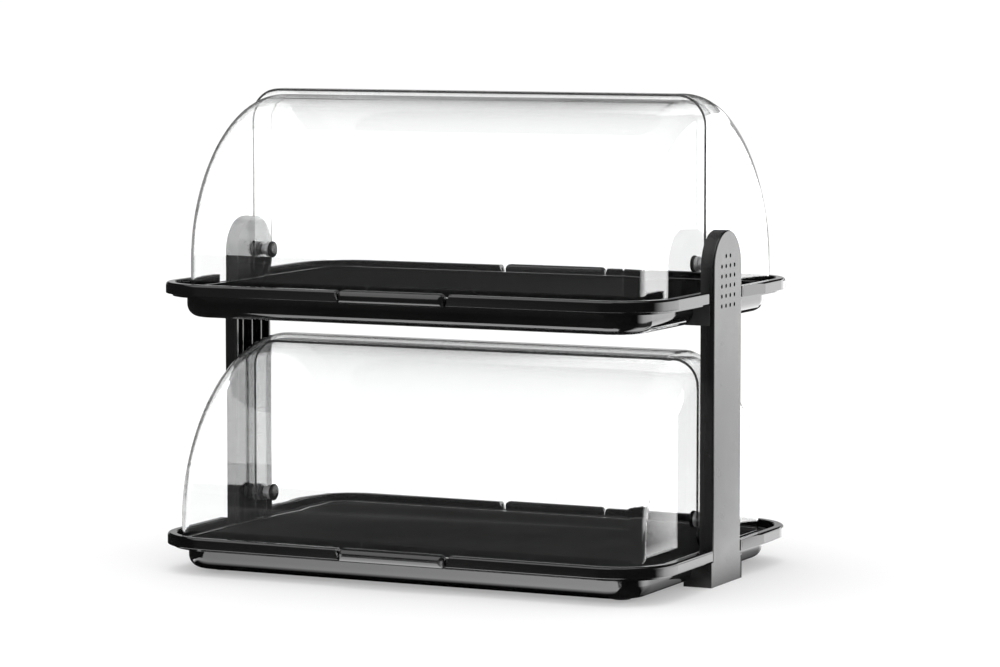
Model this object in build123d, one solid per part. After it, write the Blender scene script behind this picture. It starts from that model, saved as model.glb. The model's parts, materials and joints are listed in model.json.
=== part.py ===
from build123d import *
import os
import math

# Two-tier roll-top display case for bread and pastry.
# Millimetres. X = width, Y = depth (front is -Y), Z = up.
# Origin: centre of the footprint, on the table top.

# ---------------------------------------------------------------- dimensions
RIM_W = 460.0          # tray width over the rim
RIM_D = 320.0          # tray depth over the rim
RIM_R = 50.0           # rim corner radius in plan
RIM_FLAT = 8.0         # flat top of the rim
SKIRT_H = 9.2          # turned-down skirt
WALL = 2.5             # tray wall
TUB_HX = 209.5         # tub, half width
TUB_HY = 145.5         # tub, half depth
TUB_PR = 30.0          # tub corner radius in plan
TRAY_H = 28.8          # rim top to tub bottom
TUB_R = 10.5           # rounding of the tub's bottom edge
LEDGE = 9.5            # depth of the ledge that carries the insert
LEDGE_T = 2.0          # ledge thickness

TABLE_GAP = 3.2                # lower tub stands this far above the table, on pads
TIER = 210.4                   # tier spacing
T1 = TABLE_GAP + TRAY_H        # lower rim top
T2 = T1 + TIER                 # upper rim top
PIVOT_UP = 19.0                # pivot axis above the rim top
P1 = T1 + PIVOT_UP
P2 = T2 + PIVOT_UP

# covers: shells of revolution above the pivot axis, straight-sided below it; the inner nests in the outer
R_OUT = 139.0          # outer cover, outside radius
L_OUT = 211.0          # outer cover, half length
F_OUT = 26.0           # outer cover, rounding between barrel and end wall
FB_OUT = 8.0           # the same at its base
R_IN = 133.8           # inner cover
L_IN = 206.4
F_IN = 21.5
COVER_T = 1.9          # wall
EDGE_R = 0.45         # softening of the covers' cut edges
BASE_DROP = 24.0       # covers reach this far below the pivot axis
LAP_OUT = 9.5          # outer cover runs this far past the pivot plane
LAP_IN = 15.0          # inner cover runs this far past it
LOBE_OUT = 9.0         # rounded lower corner of the outer cover's end walls
LOBE_IN = 16.2         # the same on the inner cover, so that it clears the plate as it turns

# uprights
U_OUT = 227.0          # outer face
U_IN = 215.0           # inner edges of the flanges
U_T = 2.5              # wall
U_HALF = 29.5          # half width, and radius of the round top
U_ARCH = 260.5         # centre of the round top
PLATE_T = 3.0          # front and rear plates of the brackets under each tub
NOTCH_X = 221.8        # the rim is cut back to here beside the uprights
NOTCH_REAR = 29.8      # rear end of that cut

# pivots
PIN_R = 3.0
BORE_R = 3.06

# grips in the middle of both long rims
GRIP_HALF = 47.6
NOTCH_HALF = 50.5

# screws between tub and uprights
SCREW_Y = 16.0
SCREW_DROP = 15.5      # below the rim top

HX, HY = RIM_W / 2, RIM_D / 2


def slab(hx, hy, r, z0, z1):
    """Block with rounded corners in plan, given by its half sizes."""
    return extrude(Plane.XY.offset(z0) * RectangleRounded(2 * hx, 2 * hy, r), z1 - z0)


def cyl_x(r, x0, x1, y, z):
    """Cylinder along X from x0 to x1."""
    return Pos((x0 + x1) / 2.0, y, z) * Rot(0, 90, 0) * Cylinder(r, abs(x1 - x0))


def box(x0, x1, y0, y1, z0, z1):
    x0, x1 = min(x0, x1), max(x0, x1)
    y0, y1 = min(y0, y1), max(y0, y1)
    return Pos((x0 + x1) / 2, (y0 + y1) / 2, (z0 + z1) / 2) * Box(x1 - x0, y1 - y0, z1 - z0)


def prism_x(points, x0, x1):
    """Prism along X over an outline given as (y, z) points."""
    face = make_face(Plane.YZ.offset(x0) * Polyline(*points, close=True))
    return extrude(face, x1 - x0, dir=(1, 0, 0))


def prism_y(points, y0, y1):
    """Prism along Y over an outline given as (x, z) points."""
    wire = Polyline(*[(x, y0, z) for x, z in points], close=True)
    return extrude(make_face(wire), y1 - y0, dir=(0, 1, 0))


# ---------------------------------------------------------------- trays
def make_tray(zt, gap_front):
    """Tray; gap_front is how far forward the rim is open beside each upright."""
    under = zt - LEDGE - LEDGE_T
    rim = slab(HX, HY, RIM_R, zt - SKIRT_H, zt)
    rim = fillet(rim.edges().group_by(Axis.Z)[-1], 2.2)
    rim = fillet(rim.edges().group_by(Axis.Z)[0], 0.5)
    caps = rim - slab(HX - RIM_FLAT, HY - RIM_FLAT, RIM_R - RIM_FLAT, zt - LEDGE - 1, zt + 1)
    ledge = slab(HX - RIM_FLAT + WALL, HY - RIM_FLAT + WALL, RIM_R - RIM_FLAT + WALL, under, zt - SKIRT_H + 1.0)
    tub = slab(TUB_HX, TUB_HY, TUB_PR, zt - TRAY_H, zt - LEDGE - 0.5)
    tub = fillet(tub.edges().group_by(Axis.Z)[0], TUB_R)
    body = rim + ledge + tub
    # opening inside the rim, down to the ledge
    body = body - slab(HX - RIM_FLAT, HY - RIM_FLAT, RIM_R - RIM_FLAT, zt - LEDGE, zt + 1)
    inner_edges = [e for e in body.edges()
                   if abs(e.bounding_box().min.Z - zt) < 0.01 and abs(e.bounding_box().max.Z - zt) < 0.01
                   and abs(e.center().X) < HX - RIM_FLAT + 0.2 and abs(e.center().Y) < HY - RIM_FLAT + 0.2]
    body = fillet(inner_edges, 1.2)
    # well of the tub
    well = slab(TUB_HX - WALL, TUB_HY - WALL, TUB_PR - WALL, zt - TRAY_H + WALL, zt - LEDGE + 1)
    well = fillet(well.edges().group_by(Axis.Z)[0], TUB_R - WALL)
    body = body - well
    # hollow underside of the rim, between skirt and inner wall
    body = body - (slab(HX - WALL, HY - WALL, RIM_R - WALL, zt - SKIRT_H - 0.5, zt - WALL)
                   - slab(HX - RIM_FLAT + WALL, HY - RIM_FLAT + WALL, RIM_R - RIM_FLAT + WALL,
                          zt - SKIRT_H - 2, zt))
    for s in (-1, 1):
        # cut-out of the long rim for its grip, with slanting ends
        y_a, y_b = sorted((s * (HY - RIM_FLAT - 0.1), s * (HY + 1)))
        body = body - prism_y([(-NOTCH_HALF - 1.7, zt + 1), (NOTCH_HALF + 1.7, zt + 1),
                               (NOTCH_HALF - 1.5, zt - LEDGE), (-NOTCH_HALF + 1.5, zt - LEDGE)], y_a, y_b)
        body = body - box(-NOTCH_HALF + 1.5, NOTCH_HALF - 1.5, s * (HY - RIM_FLAT + WALL), s * (HY + 1),
                          under - 0.5, zt - LEDGE + 0.1)
        for px in (-30, 30):
            body = body - Pos(px, s * 153.0, zt - LEDGE) * Cylinder(0.95, 8.0)
        # rim opened beside the uprights, with its ends closed
        for y0, y1 in ((-gap_front - WALL, -gap_front), (NOTCH_REAR, NOTCH_REAR + WALL)):
            body = body + (caps & box(s * (HX - RIM_FLAT), s * (HX + 1), y0, y1, zt - SKIRT_H, zt))
        body = body - box(s * NOTCH_X, s * (HX + 1), -gap_front, NOTCH_REAR, under - 0.5, zt + 1)
        # rear end runs out flush with the upright
        taper = [(U_OUT + 0.3, NOTCH_REAR - 0.5), (HX + 0.01, NOTCH_REAR + 45.0), (HX + 1, NOTCH_REAR + 45.0),
                 (HX + 1, NOTCH_REAR - 0.5)]
        wire = Polyline(*[(s * x, y, under - 0.5) for x, y in taper], close=True)
        body = body - extrude(make_face(wire), 13.0, dir=(0, 0, 1))
        # screw holes
        for py in (-SCREW_Y, SCREW_Y):
            body = body - cyl_x(2.1, s * 200.0, s * 210.5, py, zt - SCREW_DROP)
    return body


def make_insert(zt):
    """Serving plate: flat, with a raised bead all round, standing on the ledge."""
    hx, hy = HX - RIM_FLAT - 2.5, HY - RIM_FLAT - 2.5
    r = RIM_R - RIM_FLAT - 2.5
    plate = slab(hx, hy, r, zt - LEDGE, zt - 5.6)
    plate = fillet(plate.edges().group_by(Axis.Z)[-1], 1.2)
    dish = slab(hx - 6.0, hy - 6.0, r - 6.0, zt - 7.5, zt)
    dish = fillet(dish.edges().group_by(Axis.Z)[0], 1.0)
    plate = plate - dish
    # ends let in for the uprights and pivots
    for s in (-1, 1):
        plate = plate - box(s * 214.2, s * 225.0, -33.0, 33.0, zt - LEDGE - 0.5, zt)
    return plate


def make_grip(zt, s):
    """Rounded bar in the cut-out of a long rim; s is -1 front, 1 rear."""
    bar = slab(GRIP_HALF, 6.0, 5.0, zt - 10.7, zt + 0.7)
    bar = fillet(bar.edges().group_by(Axis.Z)[-1], 4.4)
    bar = fillet(bar.edges().group_by(Axis.Z)[0], 2.4)
    # the outward half is a full round
    nose = box(-60, 60, s * -7.0, s * 0.3, zt - 12.0, zt + 2.0) + Pos(0, s * 0.3, 0) * cyl_x(5.75, -60, 60, 0, zt - 5.0)
    bar = bar & nose
    bar = Pos(0, s * 158.0, 0) * bar
    bar = bar - box(-60, 60, s * 150.0, s * 154.8, zt - 12.0, zt - LEDGE)
    for px in (-30, 30):
        bar = bar + Pos(px, s * 153.0, zt - LEDGE - 0.5) * Cylinder(0.9, 2.8)
    return bar


# ---------------------------------------------------------------- covers
def rounded_drum(r, hl, f, pz):
    """Solid of revolution about the pivot axis: a drum with rounded ends."""
    q = f * math.sqrt(0.5)

    def p(x, z):
        return (x, 0, z)

    edges = [Line(p(-hl, 0), p(-hl, r - f)),
             ThreePointArc(p(-hl, r - f), p(-hl + f - q, r - f + q), p(-hl + f, r)),
             Line(p(-hl + f, r), p(hl - f, r)),
             ThreePointArc(p(hl - f, r), p(hl - f + q, r - f + q), p(hl, r - f)),
             Line(p(hl, r - f), p(hl, 0)),
             Line(p(hl, 0), p(-hl, 0))]
    return Pos(0, 0, pz) * revolve(make_face(Wire(edges)), Axis.X, 360)


def bell(r, hl, f, fb, pz):
    """Rounded drum above the pivot axis, with sides running straight down below it.
    The corner rounding goes from f at the axis to fb at the base."""
    top = rounded_drum(r, hl, f, pz) - box(-hl - 5, hl + 5, -r - 5, r + 5, pz - r - 5, pz)
    over = 2.0
    f_end = f + (fb - f) * (BASE_DROP + over) / BASE_DROP
    upper = Plane.XY.offset(pz) * RectangleRounded(2 * hl, 2 * r, f)
    if abs(fb - f) < 0.01:
        return top + extrude(upper, -(BASE_DROP + over))
    lower = Plane.XY.offset(pz - BASE_DROP - over) * RectangleRounded(2 * hl, 2 * r, f_end)
    return top + loft([upper.face(), lower.face()], ruled=True)


def make_cover(pz, s, outer):
    """Half cover; s is -1 for the front one, 1 for the rear one."""
    if outer:
        r, hl, f, fb, lap, lobe = R_OUT, L_OUT, F_OUT, FB_OUT, LAP_OUT, LOBE_OUT
    else:
        r, hl, f, fb, lap, lobe = R_IN, L_IN, F_IN, F_IN, LAP_IN, LOBE_IN
    t = COVER_T
    shell = bell(r, hl, f, fb, pz) - bell(r - t, hl - t, f - t, fb - t, pz)
    y_lap = -s * lap
    z_base = pz - BASE_DROP
    block = prism_x([(y_lap, pz + 200), (s * 200, pz + 200), (s * 200, z_base), (y_lap, z_base)], -hl - 5, hl + 5)
    corner = [e for e in block.edges().filter_by(Axis.X)
              if abs(e.center().Y - y_lap) < 0.1 and abs(e.center().Z - z_base) < 0.1]
    block = fillet(corner, lobe)
    shell = shell & block

    def on_plane(e):
        bb = e.bounding_box()
        return ((abs(bb.min.Y - y_lap) < 0.01 and abs(bb.max.Y - y_lap) < 0.01)
                or (abs(bb.min.Z - z_base) < 0.01 and abs(bb.max.Z - z_base) < 0.01))

    # softened lap and base edges; the short edges across the wall stay as they are
    soft = [e for e in shell.edges() if on_plane(e)
            and not (e.geom_type == GeomType.LINE and abs(e.length - t) < 0.05)]
    shell = fillet(soft, EDGE_R)
    for sx in (-1, 1):
        shell = shell - cyl_x(BORE_R, sx * (hl - 10), sx * (hl + 2), 0, pz)
    return shell


# ---------------------------------------------------------------- uprights
def bracket_plate(zt, zb, x_out, y0):
    """Plate across X that follows the rounded edge of the tub."""
    cx, cz = TUB_HX - TUB_R, zt - TRAY_H + TUB_R
    rr = TUB_R + 0.05
    a2 = -math.radians(72.0)
    am = a2 / 2

    def p(x, z):
        return (x, y0, z)

    top = zt - LEDGE - LEDGE_T
    x_in = cx + rr * math.cos(a2)
    p_low = p(x_in, cz + rr * math.sin(a2))
    p_mid = p(cx + rr * math.cos(am), cz + rr * math.sin(am))
    edges = [Line(p(x_out, top), p(cx + rr, top)),
             Line(p(cx + rr, top), p(cx + rr, cz)),
             ThreePointArc(p(cx + rr, cz), p_mid, p_low),
             Line(p_low, p(x_in, zb)),
             Line(p(x_in, zb), p(x_out, zb)),
             Line(p(x_out, zb), p(x_out, top))]
    return extrude(make_face(Wire(edges)), PLATE_T + U_T, dir=(0, 1, 0))


def arch_block(half, z0, x0, x1):
    b = box(x0, x1, -half, half, z0, U_ARCH)
    return b + cyl_x(half, x0, x1, 0, U_ARCH)


def make_upright():
    """Right-hand upright: a channel with a round top."""
    body = arch_block(U_HALF, 0, U_IN, U_OUT)
    outer_edges = [e for e in body.edges() if abs(e.center().X - U_OUT) < 0.05 and e.center().Z > 1.0]
    body = fillet(outer_edges, 1.6)
    body = body - arch_block(U_HALF - U_T, 2.5, U_IN - 1, U_OUT - U_T)
    # three stiffening ribs between the tiers
    for y in (-16, 0, 16):
        body = body + box(216.6, U_OUT - U_T + 0.2, y - 0.8, y + 0.8, 2.0, T2 - LEDGE - LEDGE_T)
    tub_face = TUB_HX + 0.05
    for zt, zb, x_sole, x_out in ((T1, 0.0, 203.0, U_OUT), (T2, T2 - TRAY_H + 0.4, 206.0, 224.0)):
        for y in (-U_HALF - PLATE_T, U_HALF - U_T):
            body = body + bracket_plate(zt, zb, x_out, y)
        # contact plate against the tub, and sole
        body = body + box(tub_face, tub_face + 2.5, -U_HALF, U_HALF, zt - 22.0, zt - LEDGE - LEDGE_T)
        body = body + box(x_sole, U_OUT - U_T + 0.2, -U_HALF, U_HALF, zb, zb + 2.0)
        for y in (-SCREW_Y, SCREW_Y):
            body = body + cyl_x(4.0, tub_face, U_OUT - U_T + 0.2, y, zt - SCREW_DROP)
    for zt in (T1, T2):
        # slots for the ledge of the tray
        body = body - box(200.0, NOTCH_X + 0.2, -U_HALF - 1, U_HALF + 1, zt - LEDGE - LEDGE_T, zt - LEDGE)
        for y in (-SCREW_Y, SCREW_Y):
            body = body - cyl_x(2.02, 208.0, 222.2, y, zt - SCREW_DROP)
    for pz in (P1, P2):
        body = body + cyl_x(8.0, 214.5, U_OUT - U_T + 0.2, 0, pz)
        body = body - cyl_x(PIN_R + 0.02, U_IN - 2.0, 222.1, 0, pz)
    # tapering heel behind the foot
    sections = []
    for z in (0.0, 19.0):
        f = 1 - z / 27.0
        wire = Polyline((217.0, U_HALF - 0.5, z), (226.0, U_HALF - 0.5, z), (226.0 - 2.0 * f, U_HALF + 9.0 * f, z),
                        close=True)
        sections.append(make_face(wire))
    body = body + loft(sections, ruled=True)
    # field of 22 dimples in the round top
    rows = [(269.0, (-4.5, 4.5))] + [(269.0 - 8.1 * k, (-13.5, -4.5, 4.5, 13.5)) for k in range(1, 6)]
    for z, ys in rows:
        for y in ys:
            body = body - cyl_x(1.75, U_OUT - 1.7, U_OUT + 1.0, y, z)
    return body


# ---------------------------------------------------------------- pivots and screws
def make_pin(sx, pz):
    return cyl_x(PIN_R, sx * 195.1, sx * 222.0, 0, pz)


def make_knob(sx, pz):
    prof = [(197.3, 0.0), (197.3, 6.3), (196.8, 6.9), (195.2, 6.9), (194.6, 6.5), (194.2, 5.6), (194.0, 4.2),
            (193.9, 0.0)]
    face = make_face(Polyline(*[(x, 0, z) for x, z in prof], close=True))
    k = revolve(face, Axis.X, 360) - cyl_x(PIN_R + 0.02, 195.0, 203.0, 0, 0)
    if sx < 0:
        k = mirror(k, Plane.YZ)
    return Pos(0, 0, pz) * k


def ring_x(r_out, x0, x1, sx, pz, c=0.3):
    ring = cyl_x(r_out, sx * x0, sx * x1, 0, pz)
    ring = chamfer(ring.edges().filter_by(GeomType.CIRCLE), c)
    return ring - cyl_x(PIN_R + 0.03, sx * (x0 - 1), sx * (x1 + 1), 0, pz)


def make_washer(sx, pz):
    """Ring behind a knob, with a narrower collar that reaches to the cover wall."""
    ring = cyl_x(6.2, sx * 197.4, sx * 200.8, 0, pz)
    ring = chamfer(ring.edges().filter_by(GeomType.CIRCLE), 0.5)
    ring = ring + cyl_x(4.6, sx * 200.6, sx * 204.2, 0, pz)
    return ring - cyl_x(PIN_R + 0.03, sx * 196.0, sx * 206.0, 0, pz)


def make_screw(sx, y, zt):
    z = zt - SCREW_DROP
    x = TUB_HX - WALL
    head = cyl_x(2.6, sx * (x - 2.3), sx * x, y, z)
    head = head - box(sx * (x - 2.5), sx * (x - 1.2), y - 0.4, y + 0.4, z - 1.7, z + 1.7)
    head = head - box(sx * (x - 2.5), sx * (x - 1.2), y - 1.7, y + 1.7, z - 0.4, z + 0.4)
    return head + cyl_x(2.0, sx * (x - 0.1), sx * 222.0, y, z)


# ---------------------------------------------------------------- parts
parts = {}
for name, zt, gap_front in (("lower", T1, 37.0), ("upper", T2, 47.5)):
    parts[name + "_tray"] = make_tray(zt, gap_front)
    parts[name + "_insert"] = make_insert(zt)
    parts[name + "_front_grip"] = make_grip(zt, -1)
    parts[name + "_rear_grip"] = make_grip(zt, 1)
    parts[name + "_tray_screws"] = Compound([make_screw(sx, y, zt) for sx in (-1, 1)
                                             for y in (-SCREW_Y, SCREW_Y)])

parts["right_upright"] = make_upright()
parts["left_upright"] = mirror(parts["right_upright"], Plane.YZ)

parts["lower_front_cover"] = make_cover(P1, -1, True)
parts["lower_rear_cover"] = make_cover(P1, 1, False)
parts["upper_rear_cover"] = make_cover(P2, 1, True)
parts["upper_front_cover"] = make_cover(P2, -1, False)

for tier, pz in (("lower", P1), ("upper", P2)):
    for side, sx in (("left", -1), ("right", 1)):
        parts["%s_%s_pivot_pin" % (tier, side)] = make_pin(sx, pz)
        parts["%s_%s_knob" % (tier, side)] = make_knob(sx, pz)

spots = [(sx, pz) for pz in (P1, P2) for sx in (-1, 1)]
parts["pivot_bushes"] = Compound([ring_x(7.4, 211.3, 214.4, sx, pz) for sx, pz in spots])
parts["cover_spacers"] = Compound([ring_x(7.0, 206.7, 208.8, sx, pz) for sx, pz in spots])
parts["knob_washers"] = Compound([make_washer(sx, pz) for sx, pz in spots])

pads = []
for x in (-182, 182):
    for y in (-112, 112):
        p = Pos(x, y, TABLE_GAP / 2) * Cylinder(8.0, TABLE_GAP)
        pads.append(fillet(p.edges().group_by(Axis.Z)[0], 0.5))
parts["foot_pads"] = Compound(pads)

os.makedirs("parts", exist_ok=True)
for node, solid in parts.items():
    export_step(solid, "parts/%s.step" % node)
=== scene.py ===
import bpy, bmesh, json, math
from mathutils import Vector, Matrix


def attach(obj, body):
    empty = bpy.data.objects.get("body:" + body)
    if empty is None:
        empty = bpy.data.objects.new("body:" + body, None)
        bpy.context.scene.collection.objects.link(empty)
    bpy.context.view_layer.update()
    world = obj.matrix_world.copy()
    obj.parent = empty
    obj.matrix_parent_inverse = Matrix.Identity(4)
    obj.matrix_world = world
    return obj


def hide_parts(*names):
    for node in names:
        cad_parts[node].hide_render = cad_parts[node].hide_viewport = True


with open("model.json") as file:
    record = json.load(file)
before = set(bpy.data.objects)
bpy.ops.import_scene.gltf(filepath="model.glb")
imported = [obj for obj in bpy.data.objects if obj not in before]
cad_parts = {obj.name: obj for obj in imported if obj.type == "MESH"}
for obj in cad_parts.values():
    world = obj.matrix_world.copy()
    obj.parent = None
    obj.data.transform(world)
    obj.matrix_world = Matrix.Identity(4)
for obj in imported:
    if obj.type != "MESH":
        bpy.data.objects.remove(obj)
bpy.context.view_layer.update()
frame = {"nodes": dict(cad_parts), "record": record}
nodes = frame["nodes"]
scene = bpy.context.scene

T1, T2 = 0.0320, 0.2424          # rim tops
P1, P2 = 0.0510, 0.2614          # pivot axes

# ------------------------------------------------------------------ camera
cam_data = bpy.data.cameras.new("camera")
cam = bpy.data.objects.new("camera", cam_data)
scene.collection.objects.link(cam)
cam_data.sensor_fit = "HORIZONTAL"
cam_data.sensor_width = 36.0
cam_data.lens = 140.55
cam_data.shift_x = 0.00426
cam_data.shift_y = -0.0080
cam_data.clip_start, cam_data.clip_end = 0.05, 400.0
cam.location = (1.42754, -2.94106, 0.49578)
right = Vector((0.901654, 0.432458, 0.0))
up = Vector((-0.038553, 0.080380, 0.996018))
back = Vector((0.430736, -0.898064, 0.089148))
cam.rotation_mode = "QUATERNION"
cam.rotation_quaternion = Matrix((right, up, back)).transposed().to_quaternion()
scene.camera = cam

scene.view_settings.view_transform = "Standard"
scene.view_settings.look = "None"


# ------------------------------------------------------------------ node helpers
def new_mat(name):
    m = bpy.data.materials.new(name)
    m.use_nodes = True
    nt = m.node_tree
    for n in list(nt.nodes):
        nt.nodes.remove(n)
    out = nt.nodes.new("ShaderNodeOutputMaterial")
    return m, nt, out


def N(nt, kind, **props):
    n = nt.nodes.new(kind)
    for k, v in props.items():
        setattr(n, k, v)
    return n


def ramp(nt, fac, stops):
    r = N(nt, "ShaderNodeValToRGB")
    el = r.color_ramp.elements
    el[0].position, el[0].color = stops[0][0], stops[0][1]
    el[1].position, el[1].color = stops[-1][0], stops[-1][1]
    for p, c in stops[1:-1]:
        e = el.new(p)
        e.color = c
    nt.links.new(fac, r.inputs[0])
    return r


def grey(v, a=1.0):
    return (v, v, v, a)


def noise(nt, coord, scale, detail=2.0, rough=0.5):
    n = N(nt, "ShaderNodeTexNoise")
    n.inputs["Scale"].default_value = scale
    n.inputs["Detail"].default_value = detail
    n.inputs["Roughness"].default_value = rough
    nt.links.new(coord, n.inputs["Vector"])
    return n


def map_range(nt, val, a, b, c, d):
    m = N(nt, "ShaderNodeMapRange")
    m.inputs[1].default_value = a
    m.inputs[2].default_value = b
    m.inputs[3].default_value = c
    m.inputs[4].default_value = d
    nt.links.new(val, m.inputs[0])
    return m


def plastic(name, lo, hi, rough, rough_var, grain, grain_h, edge=0.0, spec=0.5, lower_painted_lift=1.0, painted_shade_heel=False):
    """Moulded black plastic: slight cloudiness, fine grain, fine scuffs in the roughness, paler edges; optionally
    painted light that pales the lower tier's plate and painted shade on the heel behind each upright.
    """
    m, nt, out = new_mat(name)
    bs = N(nt, "ShaderNodeBsdfPrincipled")
    tc = N(nt, "ShaderNodeTexCoord")
    n1 = noise(nt, tc.outputs["Object"], 14.0, 4.0)
    base = ramp(nt, n1.outputs["Fac"], [(0.3, grey(lo)), (0.7, grey(hi))])
    col = base.outputs[0]
    if lower_painted_lift != 1.0:
        # painted light: the lower tier's plate is made a little paler than the upper one's, standing in for how it is
        # lit
        sep = N(nt, "ShaderNodeSeparateXYZ")
        nt.links.new(tc.outputs["Object"], sep.inputs[0])
        tone = map_range(nt, sep.outputs[2], 0.10, 0.16, lower_painted_lift, 1.0)
        vm = N(nt, "ShaderNodeVectorMath", operation="SCALE")
        nt.links.new(col, vm.inputs[0])
        nt.links.new(tone.outputs[0], vm.inputs["Scale"])
        col = vm.outputs[0]
    if edge > 0:
        ge = N(nt, "ShaderNodeNewGeometry")
        er = ramp(nt, ge.outputs["Pointiness"], [(0.52, grey(0)), (0.60, grey(1))])
        mx = N(nt, "ShaderNodeMix", data_type="RGBA")
        nt.links.new(er.outputs[0], mx.inputs["Factor"])
        nt.links.new(col, mx.inputs[6])
        mx.inputs[7].default_value = grey(edge)
        col = mx.outputs[2]
    nt.links.new(col, bs.inputs["Base Color"])
    n2 = noise(nt, tc.outputs["Object"], 60.0, 6.0, 0.65)
    rr = map_range(nt, n2.outputs["Fac"], 0.3, 0.7, rough - rough_var, rough + rough_var)
    nt.links.new(rr.outputs[0], bs.inputs["Roughness"])
    n3 = noise(nt, tc.outputs["Object"], grain, 3.0, 0.6)
    bp = N(nt, "ShaderNodeBump")
    bp.inputs["Strength"].default_value = 1.0
    bp.inputs["Distance"].default_value = grain_h
    nt.links.new(n3.outputs["Fac"], bp.inputs["Height"])
    nt.links.new(bp.outputs[0], bs.inputs["Normal"])
    bs.inputs["IOR"].default_value = 1.49
    bs.inputs["Specular IOR Level"].default_value = spec
    if painted_shade_heel:
        # painted shade: the tapering heel behind each upright loses its specular reflection, so it reads dark like the
        # shadow gap there
        at = N(nt, "ShaderNodeSeparateXYZ")
        nt.links.new(tc.outputs["Object"], at.inputs[0])
        rear = map_range(nt, at.outputs[1], 0.0296, 0.0299, 0.0, 1.0)
        low = map_range(nt, at.outputs[2], 0.0188, 0.0192, 1.0, 0.0)
        both = N(nt, "ShaderNodeMath", operation="MULTIPLY")
        nt.links.new(rear.outputs[0], both.inputs[0])
        nt.links.new(low.outputs[0], both.inputs[1])
        heel_painted_shade = map_range(nt, both.outputs[0], 0.0, 1.0, spec, 0.03)
        nt.links.new(heel_painted_shade.outputs[0], bs.inputs["Specular IOR Level"])
    nt.links.new(bs.outputs[0], out.inputs[0])
    return m


def metal(name, colour, rough, scale, height, metallic=1.0):
    m, nt, out = new_mat(name)
    bs = N(nt, "ShaderNodeBsdfPrincipled")
    tc = N(nt, "ShaderNodeTexCoord")
    n1 = noise(nt, tc.outputs["Object"], 90.0, 3.0)
    base = ramp(nt, n1.outputs["Fac"], [(0.3, tuple(c * 0.9 for c in colour) + (1,)), (0.7, tuple(colour) + (1,))])
    nt.links.new(base.outputs[0], bs.inputs["Base Color"])
    bs.inputs["Metallic"].default_value = metallic
    n2 = noise(nt, tc.outputs["Object"], 300.0, 4.0)
    rr = map_range(nt, n2.outputs["Fac"], 0.3, 0.7, rough * 0.7, rough * 1.4)
    nt.links.new(rr.outputs[0], bs.inputs["Roughness"])
    n3 = noise(nt, tc.outputs["Object"], scale, 2.0)
    bp = N(nt, "ShaderNodeBump")
    bp.inputs["Strength"].default_value = 0.6
    bp.inputs["Distance"].default_value = height
    nt.links.new(n3.outputs["Fac"], bp.inputs["Height"])
    nt.links.new(bp.outputs[0], bs.inputs["Normal"])
    nt.links.new(bs.outputs[0], out.inputs[0])
    return m


def acrylic(name):
    """Clear polished acrylic. Lamps shine through it."""
    m, nt, out = new_mat(name)
    bs = N(nt, "ShaderNodeBsdfPrincipled")
    bs.inputs["Transmission Weight"].default_value = 1.0
    bs.inputs["IOR"].default_value = 1.49
    tc = N(nt, "ShaderNodeTexCoord")
    n1 = noise(nt, tc.outputs["Object"], 5.0, 2.0)
    base = ramp(nt, n1.outputs["Fac"], [(0.3, (0.985, 0.99, 0.99, 1)), (0.7, (0.995, 0.997, 0.996, 1))])
    nt.links.new(base.outputs[0], bs.inputs["Base Color"])
    n2 = noise(nt, tc.outputs["Object"], 35.0, 5.0, 0.7)
    rr = map_range(nt, n2.outputs["Fac"], 0.45, 0.75, 0.0, 0.02)
    nt.links.new(rr.outputs[0], bs.inputs["Roughness"])
    n3 = noise(nt, tc.outputs["Object"], 18.0, 1.0)
    bp = N(nt, "ShaderNodeBump")
    bp.inputs["Strength"].default_value = 0.25
    bp.inputs["Distance"].default_value = 0.0002
    nt.links.new(n3.outputs["Fac"], bp.inputs["Height"])
    nt.links.new(bp.outputs[0], bs.inputs["Normal"])
    tr = N(nt, "ShaderNodeBsdfTransparent")
    tr.inputs[0].default_value = (0.93, 0.93, 0.93, 1)
    lp = N(nt, "ShaderNodeLightPath")
    mx = N(nt, "ShaderNodeMixShader")
    nt.links.new(lp.outputs["Is Shadow Ray"], mx.inputs[0])
    nt.links.new(bs.outputs[0], mx.inputs[1])
    nt.links.new(tr.outputs[0], mx.inputs[2])
    nt.links.new(mx.outputs[0], out.inputs[0])
    return m


MATS = {
    "tray_black": plastic("tray_black", 0.004, 0.007, 0.055, 0.015, 700.0, 0.000004, edge=0.015),
    # painted light: the lower tier's insert plate is made 3.9 times paler than the upper one's
    "insert_black": plastic("insert_black", 0.009, 0.012, 0.55, 0.05, 1200.0, 0.00003, spec=0.0, lower_painted_lift=3.9),
    "grip_black": plastic("grip_black", 0.006, 0.009, 0.20, 0.03, 1200.0, 0.00001),
    # painted shade: the heel behind each upright is made dull so it reads dark
    "upright_black": plastic("upright_black", 0.008, 0.012, 0.24, 0.04, 1100.0, 0.00002, edge=0.03, painted_shade_heel=True),
    "cover_clear": acrylic("cover_clear"),
    "knob_black": plastic("knob_black", 0.006, 0.010, 0.2, 0.04, 1500.0, 0.00002),
    "spacer_black": plastic("spacer_black", 0.02, 0.03, 0.5, 0.05, 1500.0, 0.00003),
    "washer_chrome": metal("washer_chrome", (0.86, 0.86, 0.87), 0.16, 800.0, 0.00001, 0.45),
    "pin_steel": metal("pin_steel", (0.60, 0.60, 0.61), 0.25, 900.0, 0.00002),
    "screw_steel": metal("screw_steel", (0.55, 0.55, 0.56), 0.3, 900.0, 0.00002),
    "pad_rubber": plastic("pad_rubber", 0.015, 0.03, 0.8, 0.06, 700.0, 0.0001),
}
slot_of = {s["node"]: s["material_slot"] for s in frame["record"]["subparts"]}
for name, ob in nodes.items():
    mat = MATS[slot_of[name]]
    if len(ob.material_slots) == 0:
        ob.data.materials.append(mat)
    for i in range(len(ob.material_slots)):
        ob.material_slots[i].material = mat

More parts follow.
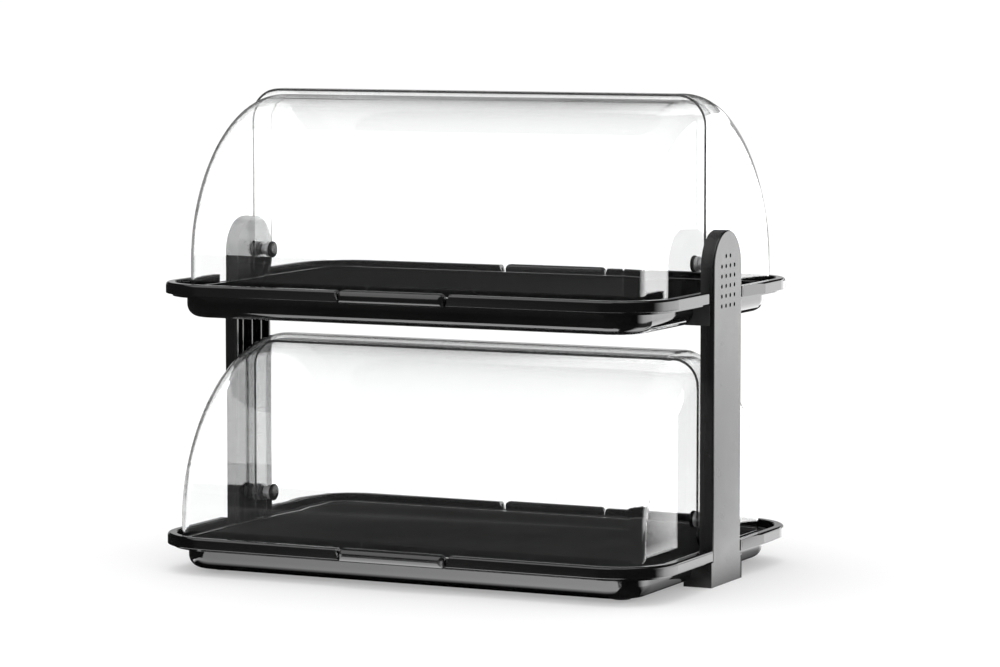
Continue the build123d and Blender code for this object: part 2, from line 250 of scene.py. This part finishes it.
# ------------------------------------------------------------------ covers
# The covers' end corners tighten from the crown down to the rim: each cover is remade from its CAD mesh
# with that corner, and takes the CAD node's place.
DROP = 0.024                      # straight part below the pivot axis
WALL = 0.0019
COVER_FORM = {                    # half length, radius, corner radius above the pivot, at the base, outside, inside
    "outer": (0.2110, 0.1390, 0.0260, 0.0080,
              [(0.0, 9.0), (25.0, 10.0), (45.0, 12.5), (65.0, 15.5), (90.0, 19.0), (115.0, 22.0), (140.0, 24.5), (165.0, 26.0)],
              [(0.0, 7.2), (60.0, 12.9), (95.0, 17.3), (130.0, 21.8), (165.0, 24.1)]),
    "inner": (0.2064, 0.1338, 0.0215, 0.0215,
              [(0.0, 15.5), (45.0, 16.5), (80.0, 18.5), (115.0, 20.5), (150.0, 21.5)],
              [(0.0, 13.8), (50.0, 15.0), (80.0, 17.2), (110.0, 18.6), (150.0, 19.6)]),
}


def knots(table, h):
    h *= 1000.0
    if h <= table[0][0]:
        return table[0][1] * 0.001
    for (a, va), (b, vb) in zip(table, table[1:]):
        if h <= b:
            return (va + (vb - va) * (h - a) / (b - a)) * 0.001
    return table[-1][1] * 0.001


def tighten(co, pivot, side, form):
    L, R, f_top, f_base, outside, inside = COVER_FORM[form]
    dz = co.z - pivot
    if dz >= 0:
        rho = math.hypot(co.y, dz)
        alpha = math.atan2(dz, side * co.y)
        h, fc = DROP + R * alpha, f_top
    else:
        rho = abs(co.y)
        h, fc = DROP + dz, f_base + (f_top - f_base) * (DROP + dz) / DROP
    ax = abs(co.x)
    ux, ur = ax - (L - fc), rho - (R - fc)
    if ux < -1e-6 or ur < -1e-6:
        return co
    d = math.hypot(ux, ur)
    if d < 1e-6:
        return co
    ux, ur = ux / d, ur / d
    depth = min(max((fc - d) / WALL, 0.0), 1.0)
    fo = knots(outside, h)
    fi = max(knots(inside, h), fo - WALL)
    far, near = (L - fo + ux * fo, R - fo + ur * fo), (L - WALL - fi + ux * fi, R - WALL - fi + ur * fi)
    nx = far[0] + (near[0] - far[0]) * depth
    nr = far[1] + (near[1] - far[1]) * depth
    x = math.copysign(nx, co.x)
    if dz >= 0:
        return Vector((x, co.y * nr / rho, pivot + dz * nr / rho))
    return Vector((x, math.copysign(nr, co.y), co.z))


def soft_normals(me, limit=math.radians(32.0)):
    """Corner normals weighted by face area, kept sharp where faces meet at more than limit."""
    around = [[] for _ in me.vertices]
    for p in me.polygons:
        for v in p.vertices:
            around[v].append(p.index)
    face_n = [p.normal.copy() for p in me.polygons]
    face_a = [p.area for p in me.polygons]
    cut = math.cos(limit)
    out = []
    for p in me.polygons:
        n0 = face_n[p.index]
        for li in p.loop_indices:
            acc = Vector((0, 0, 0))
            for q in around[me.loops[li].vertex_index]:
                if face_n[q].dot(n0) >= cut:
                    acc += face_n[q] * face_a[q]
            out.append(acc.normalized() if acc.length > 0 else n0)
    for p in me.polygons:
        p.use_smooth = True
    me.normals_split_custom_set([tuple(v) for v in out])


def remake_cover(node, form, side, pivot):
    src = nodes[node]
    bm = bmesh.new()
    bm.from_mesh(src.data)
    bm.transform(src.matrix_world)
    bmesh.ops.remove_doubles(bm, verts=bm.verts, dist=1e-6)
    # finer steps along the corner, so that the radius changes smoothly
    L, R, f_top = COVER_FORM[form][:3]
    long_edges = [e for e in bm.edges if e.calc_length() > 0.004 and all(
        abs(v.co.x) > L - f_top - 1e-5 and (math.hypot(v.co.y, max(v.co.z - pivot, 0.0)) > R - f_top - 1e-5)
        for v in e.verts)]
    bmesh.ops.subdivide_edges(bm, edges=long_edges, cuts=1, use_grid_fill=True)
    for v in bm.verts:
        v.co = tighten(v.co, pivot, side, form)
    bmesh.ops.triangulate(bm, faces=[f for f in bm.faces if len(f.verts) > 4])
    bm.normal_update()
    lap = max(-side * v.co.y for v in bm.verts)
    low = min(v.co.z for v in bm.verts)
    for f in bm.faces:
        c = f.calc_center_median()
        if (abs(f.normal.y) > 0.75 and abs(-side * c.y - lap) < 0.0004) or (abs(f.normal.z) > 0.75 and abs(c.z - low) < 0.0004):
            f.material_index = 1
    me = bpy.data.meshes.new(node + "_clear")
    bm.to_mesh(me)
    bm.free()
    ob = bpy.data.objects.new(node + "_clear", me)
    scene.collection.objects.link(ob)
    me.materials.append(MATS["cover_clear"])
    me.materials.append(COVER_EDGE)
    soft_normals(me)
    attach(ob, node)
    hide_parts(node)
    return ob


def saw_cut(name):
    """The covers' cut edges: clear, but polished less than the faces."""
    m = MATS["cover_clear"].copy()
    m.name = name
    nt = m.node_tree
    out = next(n for n in nt.nodes if n.type == "OUTPUT_MATERIAL")
    clear = out.inputs[0].links[0].from_socket
    tr = N(nt, "ShaderNodeBsdfTranslucent")
    tc = N(nt, "ShaderNodeTexCoord")
    n1 = noise(nt, tc.outputs["Object"], 900.0, 2.0)
    tone = ramp(nt, n1.outputs["Fac"], [(0.3, grey(0.62)), (0.7, grey(0.74))])
    nt.links.new(tone.outputs[0], tr.inputs[0])
    mx = N(nt, "ShaderNodeMixShader")
    mx.inputs[0].default_value = 0.30
    nt.links.new(clear, mx.inputs[1])
    nt.links.new(tr.outputs[0], mx.inputs[2])
    nt.links.new(mx.outputs[0], out.inputs[0])
    return m


COVER_EDGE = saw_cut("cover_edge")
bpy.context.view_layer.update()
for tier, pivot in (("lower", P1), ("upper", P2)):
    for face, side in (("front", -1.0), ("rear", 1.0)):
        outer = (tier == "lower") == (face == "front")
        remake_cover(tier + "_" + face + "_cover", "outer" if outer else "inner", side, pivot)


# ------------------------------------------------------------------ studio
def plane(name, corners, mat):
    me = bpy.data.meshes.new(name)
    me.from_pydata(corners, [], [tuple(range(len(corners)))])
    ob = bpy.data.objects.new(name, me)
    scene.collection.objects.link(ob)
    me.materials.append(mat)
    return ob


FLOOR_THROUGH = 1.27          # backdrop seen straight through the covers
THROUGH_REFLECTED = 0.30      # the same after a reflection inside them, in front
BACK_REFLECTED = 2.5          # and towards the right and rear, where the backdrop is lit
SHADOW_FILL = 0.35            # share of the floor that shows no shadow to the camera
fm, nt, out = new_mat("floor_white")
d = N(nt, "ShaderNodeBsdfDiffuse")
tc = N(nt, "ShaderNodeTexCoord")
n1 = noise(nt, tc.outputs["Object"], 2.0, 2.0)
base = ramp(nt, n1.outputs["Fac"], [(0.3, grey(0.87)), (0.7, grey(0.89))])
nt.links.new(base.outputs[0], d.inputs[0])
# seen through the covers the floor is the over-exposed white of the backdrop
em = N(nt, "ShaderNodeEmission")
em.inputs[0].default_value = (1, 1, 1, 1)
em.inputs[1].default_value = FLOOR_THROUGH
lpf = N(nt, "ShaderNodeLightPath")
once = N(nt, "ShaderNodeMath", operation="LESS_THAN")
nt.links.new(lpf.outputs["Glossy Depth"], once.inputs[0])
once.inputs[1].default_value = 0.5
fsep = N(nt, "ShaderNodeSeparateXYZ")
nt.links.new(tc.outputs["Object"], fsep.inputs[0])
fx = map_range(nt, fsep.outputs[0], -0.15, -0.02, 0.0, 1.0)
fy = map_range(nt, fsep.outputs[1], 0.12, 0.3, 0.0, 1.0)
fxy = N(nt, "ShaderNodeMath", operation="MULTIPLY")
nt.links.new(fx.outputs[0], fxy.inputs[0])
nt.links.new(fy.outputs[0], fxy.inputs[1])
fleft = map_range(nt, fsep.outputs[0], -1.3, -0.45, 0.38, 0.85)
fmid = map_range(nt, fsep.outputs[0], -0.45, -0.22, 0.0, 1.0)
fbase = N(nt, "ShaderNodeMix", data_type="FLOAT")
nt.links.new(fmid.outputs[0], fbase.inputs[0])
nt.links.new(fleft.outputs[0], fbase.inputs[2])
fbase.inputs[3].default_value = THROUGH_REFLECTED
refl = N(nt, "ShaderNodeMix", data_type="FLOAT")
nt.links.new(fxy.outputs[0], refl.inputs[0])
nt.links.new(fbase.outputs[0], refl.inputs[2])
refl.inputs[3].default_value = BACK_REFLECTED
lvl = N(nt, "ShaderNodeMix", data_type="FLOAT")
nt.links.new(once.outputs[0], lvl.inputs[0])
nt.links.new(refl.outputs[0], lvl.inputs[2])
lvl.inputs[3].default_value = FLOOR_THROUGH
nt.links.new(lvl.outputs[0], em.inputs[1])
gt = N(nt, "ShaderNodeMath", operation="GREATER_THAN")
nt.links.new(lpf.outputs["Transmission Depth"], gt.inputs[0])
gt.inputs[1].default_value = 0.5
fill = N(nt, "ShaderNodeEmission")
fill.inputs[0].default_value = (1, 1, 1, 1)
fill.inputs[1].default_value = 1.0
share = map_range(nt, lpf.outputs["Is Camera Ray"], 0.0, 1.0, 0.0, SHADOW_FILL)
md = N(nt, "ShaderNodeMixShader")
nt.links.new(share.outputs[0], md.inputs[0])
nt.links.new(d.outputs[0], md.inputs[1])
nt.links.new(fill.outputs[0], md.inputs[2])
mf = N(nt, "ShaderNodeMixShader")
nt.links.new(gt.outputs[0], mf.inputs[0])
nt.links.new(md.outputs[0], mf.inputs[1])
nt.links.new(em.outputs[0], mf.inputs[2])
nt.links.new(mf.outputs[0], out.inputs[0])
S = 120.0
floor = plane("floor", [(-S, -S, 0), (S, -S, 0), (S, S, 0), (-S, S, 0)], fm)
floor.visible_glossy = False


def emit(name, strength, fade=None, along=None, turn=None, strip=None):
    """Emission for a card. fade = (x, y, start, end) leaves it dark around a rectangle of those half
    sizes; along = (x0, x1, s0, s1) runs the strength from s0 at x0 to s1 at x1; turn = (x, y, a0, a1)
    brings it up between two bearings, in degrees, seen from that point, strongest just past the second; strip = (slope, c0, c1, x0, x1,
    x2, x3) brings it up as y - slope * x goes from c0 to c1, where x is between x1 and x2."""
    m, nt, out = new_mat(name)
    e = N(nt, "ShaderNodeEmission")
    e.inputs[0].default_value = (1, 1, 1, 1)
    e.inputs[1].default_value = strength
    tc = N(nt, "ShaderNodeTexCoord")
    sep = N(nt, "ShaderNodeSeparateXYZ")
    nt.links.new(tc.outputs["Object"], sep.inputs[0])

    def op(kind, a, b=None):
        n = N(nt, "ShaderNodeMath", operation=kind)
        nt.links.new(a, n.inputs[0])
        if b is not None:
            if isinstance(b, float):
                n.inputs[1].default_value = b
            else:
                nt.links.new(b, n.inputs[1])
        return n.outputs[0]

    value = None
    if along:
        value = map_range(nt, sep.outputs[0], along[0], along[1], along[2], along[3]).outputs[0]
    if fade:
        hx, hy, start, end = fade
        sq = []
        for axis, half in ((0, hx), (1, hy)):
            d = op("MAXIMUM", op("SUBTRACT", op("ABSOLUTE", sep.outputs[axis]), float(half)), 0.0)
            sq.append(op("POWER", d, 2.0))
        dist = op("SQRT", op("ADD", sq[0], sq[1]))
        f = map_range(nt, dist, start, end, 0.0, 1.0 if value else strength).outputs[0]
        value = op("MULTIPLY", f, value) if value else f
    if turn:
        cx, cy, a0, a1 = turn
        at = op("ARCTAN2", op("SUBTRACT", sep.outputs[1], float(cy)), op("SUBTRACT", sep.outputs[0], float(cx)))
        g = map_range(nt, at, math.radians(a0), math.radians(a1), 0.0, 1.0 if value else strength).outputs[0]
        g = op("MULTIPLY", g, map_range(nt, at, math.radians(34.0), math.radians(62.0), 1.7, 1.0).outputs[0])
        value = op("MULTIPLY", g, value) if value else g
    if strip:
        slope, c0, c1, x0, x1, x2, x3 = strip
        c = op("SUBTRACT", sep.outputs[1], op("MULTIPLY", sep.outputs[0], float(slope)))
        near = op("MULTIPLY", map_range(nt, c, c0 - 0.08, c0 - 0.03, 1.0, 0.0).outputs[0],
                  map_range(nt, sep.outputs[0], 0.40, 0.46, 1.0, 0.05).outputs[0])
        g = op("ADD", map_range(nt, c, c0, c1, 0.0, 1.0).outputs[0], near)
        far = op("MULTIPLY", map_range(nt, sep.outputs[0], x0, x1, 0.0, 1.0).outputs[0],
                 map_range(nt, sep.outputs[0], x2, x3, 1.0, 0.0).outputs[0])
        less = op("MULTIPLY", far, map_range(nt, g, 0.0, 1.0, 1.0, 0.0).outputs[0])
        g = map_range(nt, less, 0.0, 1.0, 1.0, 0.0).outputs[0]
        value = op("MULTIPLY", g, value if value else float(strength))
    if value:
        nt.links.new(value, e.inputs[1])
    nt.links.new(e.outputs[0], out.inputs[0])
    return m


def card(name, corners, mat):
    """A light card seen only in reflections."""
    ob = plane(name, corners, mat)
    ob.visible_camera = False
    ob.visible_diffuse = False
    ob.visible_transmission = False
    ob.visible_shadow = False
    ob.visible_volume_scatter = False
    return ob


# lit table in front of the case, bright backdrop to its right and rear, backdrop behind, softbox overhead
card("card_table", [(-0.225, -0.130, -0.001), (-0.285, -0.28, -0.001), (0.22, -0.28, -0.001),
                    (0.27, -0.235, -0.001), (0.175, -0.130, -0.001)],
     emit("card_table", 5.5, (0.2095, 0.1455, 0.001, 0.014), (-0.26, 0.24, 3.9, 6.4)))
card("card_side", [(0.20, -0.10, -0.001), (0.45, -0.9, -0.001), (3.5, -0.9, -0.001), (3.5, 4.5, -0.001), (0.20, 4.5, -0.001)],
     emit("card_side", 3.4, (0.20, 0.138, 0.0, 0.10), None, (0.21, -0.12, -4.0, 20.0),
          (2.33, -0.626, -0.507, 0.31, 0.34, 0.9, 1.3)))
card("card_right", [(-0.6, 4.5, -0.8), (6.6, 0.3, -0.8), (6.6, 0.3, 1.2), (-0.6, 4.5, 1.2)],
     emit("card_right", 3.3, None, None, (0.21, -0.12, -4.0, 20.0)))
card("card_right_front", [(6.6, 0.3, -0.8), (5.6, -2.6, -0.8), (5.6, -2.6, 1.2), (6.6, 0.3, 1.2)],
     emit("card_right_front", 3.3, None, None, (0.21, -0.12, -4.0, 20.0)))
card("card_back", [(-4.0, 3.0, 0.02), (0.6, 3.0, 0.02), (0.6, 3.0, 0.75), (-4.0, 3.0, 0.75)], emit("card_back", 0.6))
card("card_front", [(-4.2, -4.0, 2.1), (0.6, -4.0, 2.1), (0.6, -4.0, 4.4), (-4.2, -4.0, 4.4)], emit("card_front", 2.4))
card("card_top", [(-3.2, -3.0, 3.2), (2.0, -3.0, 3.2), (2.0, 0.6, 3.2), (-3.2, 0.6, 3.2)], emit("card_top", 2.2))


def area(name, loc, target, size, size_y, power, spread=180.0):
    l = bpy.data.lights.new(name, "AREA")
    l.shape = "RECTANGLE"
    l.size, l.size_y = size, size_y
    l.energy = power
    l.spread = math.radians(spread)
    o = bpy.data.objects.new(name, l)
    scene.collection.objects.link(o)
    o.location = loc
    o.rotation_mode = "QUATERNION"
    o.rotation_quaternion = (Vector(target) - Vector(loc)).to_track_quat("-Z", "Y")
    return o


top = area("softbox_top", (-0.2, -0.5, 3.2), (0, 0, 0.2), 3.0, 2.2, 18.0)
top.visible_glossy = False
top.visible_transmission = False

world = bpy.data.worlds.new("studio")
scene.world = world
world.use_nodes = True
wt = world.node_tree
for n in list(wt.nodes):
    wt.nodes.remove(n)
wo = wt.nodes.new("ShaderNodeOutputWorld")


def backdrop(strength):
    b = N(wt, "ShaderNodeBackground")
    b.inputs[0].default_value = (1, 1, 1, 1)
    b.inputs[1].default_value = strength
    return b


lp = N(wt, "ShaderNodeLightPath")
# through the covers: white near the horizon, grey overhead
wc = N(wt, "ShaderNodeTexCoord")
ws = N(wt, "ShaderNodeSeparateXYZ")
wt.links.new(wc.outputs["Generated"], ws.inputs[0])
wr = map_range(wt, ws.outputs[2], 0.15, 0.35, FLOOR_THROUGH, 0.35)
bg_thr = backdrop(1.0)
wonce = N(wt, "ShaderNodeMath", operation="LESS_THAN")
wt.links.new(lp.outputs["Glossy Depth"], wonce.inputs[0])
wonce.inputs[1].default_value = 0.5
wm = N(wt, "ShaderNodeMix", data_type="FLOAT")
wt.links.new(wonce.outputs[0], wm.inputs[0])
wx = map_range(wt, ws.outputs[0], 0.1, 0.3, THROUGH_REFLECTED, BACK_REFLECTED)
wy = map_range(wt, ws.outputs[1], 0.2, 0.5, 0.0, 1.0)
wz = map_range(wt, ws.outputs[2], 0.0, 0.25, 1.0, 0.0)
wyz = N(wt, "ShaderNodeMath", operation="MULTIPLY")
wt.links.new(wy.outputs[0], wyz.inputs[0])
wt.links.new(wz.outputs[0], wyz.inputs[1])
wback = N(wt, "ShaderNodeMix", data_type="FLOAT")
wt.links.new(wyz.outputs[0], wback.inputs[0])
wback.inputs[2].default_value = THROUGH_REFLECTED
wt.links.new(wx.outputs[0], wback.inputs[3])
wt.links.new(wback.outputs[0], wm.inputs[2])
wt.links.new(wr.outputs[0], wm.inputs[3])
wt.links.new(wm.outputs[0], bg_thr.inputs[1])
gt = N(wt, "ShaderNodeMath", operation="GREATER_THAN")
wt.links.new(lp.outputs["Transmission Depth"], gt.inputs[0])
gt.inputs[1].default_value = 0.5
bg_gl, bg_dif, bg_cam = backdrop(0.03), backdrop(1.25), backdrop(1.0)
m0, m1, m2 = (N(wt, "ShaderNodeMixShader") for _ in range(3))
wt.links.new(gt.outputs[0], m0.inputs[0])
wt.links.new(bg_gl.outputs[0], m0.inputs[1])
wt.links.new(bg_thr.outputs[0], m0.inputs[2])
wt.links.new(lp.outputs["Is Diffuse Ray"], m1.inputs[0])
wt.links.new(m0.outputs[0], m1.inputs[1])
wt.links.new(bg_dif.outputs[0], m1.inputs[2])
wt.links.new(lp.outputs["Is Camera Ray"], m2.inputs[0])
wt.links.new(m1.outputs[0], m2.inputs[1])
wt.links.new(bg_cam.outputs[0], m2.inputs[2])
wt.links.new(m2.outputs[0], wo.inputs[0])
